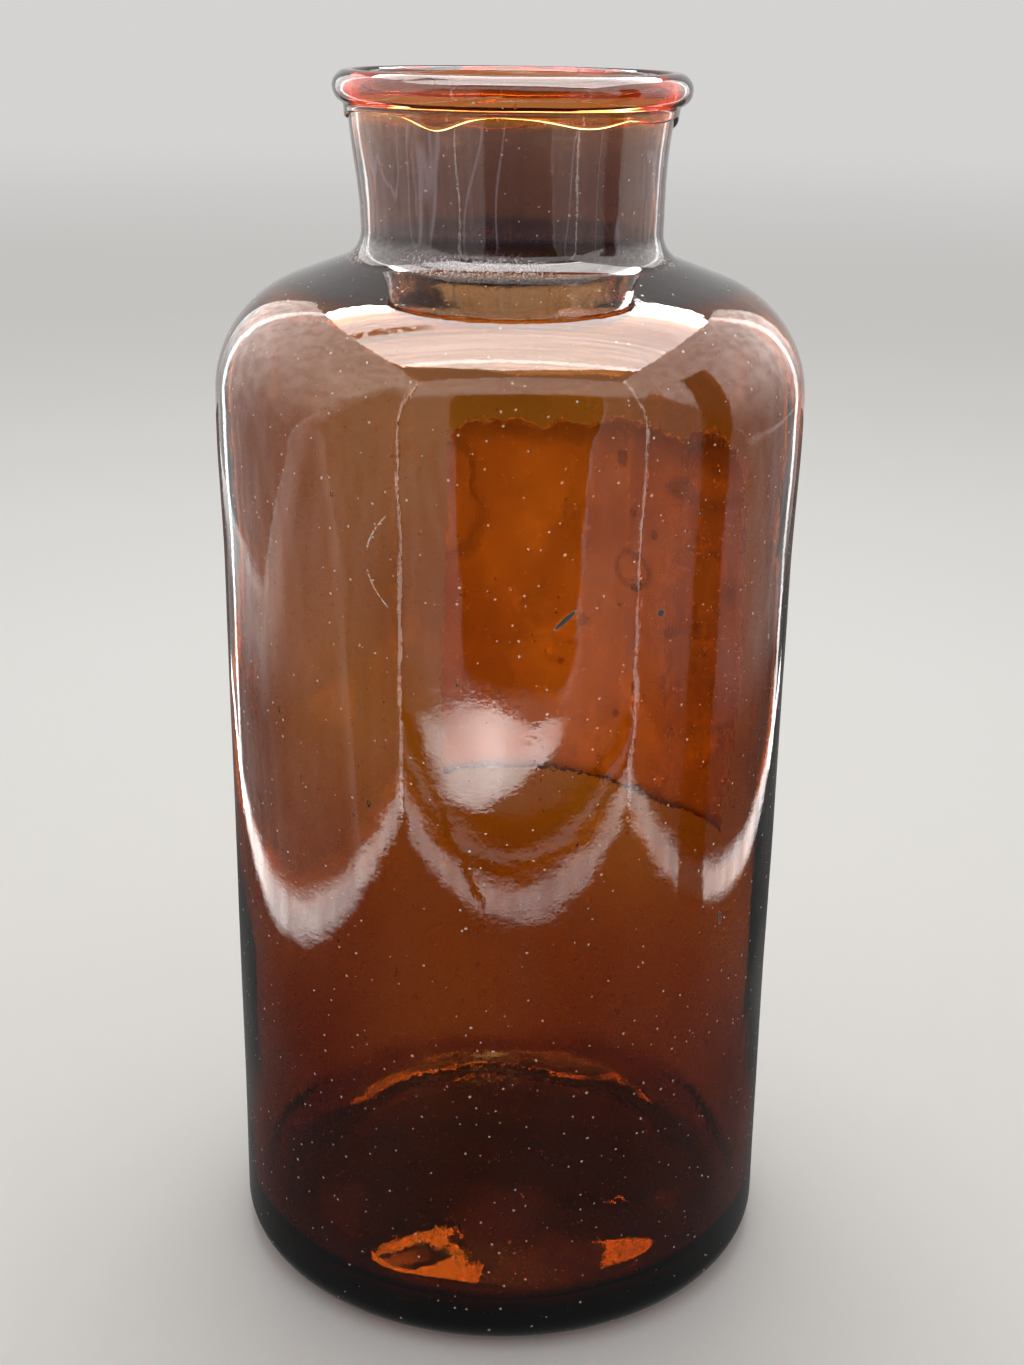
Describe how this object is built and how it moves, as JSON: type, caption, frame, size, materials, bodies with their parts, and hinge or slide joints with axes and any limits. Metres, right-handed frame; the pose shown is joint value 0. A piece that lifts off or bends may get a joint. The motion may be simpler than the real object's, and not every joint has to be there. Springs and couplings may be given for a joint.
{
  "type": "apothecary bottle",
  "caption": "Wide-mouth amber glass bottle with a sloping shoulder, a short flared neck, an applied rounded lip with a wavy hem, and a worn blank paper label on its back.",
  "frame": {"origin": "middle of the flat ring that the bottle stands on", "axes": "+Z along the bottle's axis towards the mouth; -Y is the front, which the picture shows, and the label is on the back"},
  "size_m": [0.12, 0.12, 0.254],
  "materials": {
    "amber_glass": "fire-polished, lightly scratched",
    "lip_glass": "fire-polished, tooled",
    "label_paper": "matt, browned, blank"
  },
  "bodies": {
    "root": {"bottle_body": "amber_glass", "applied_lip": "lip_glass", "paper_label": "label_paper"}
  },
  "joints": []
}
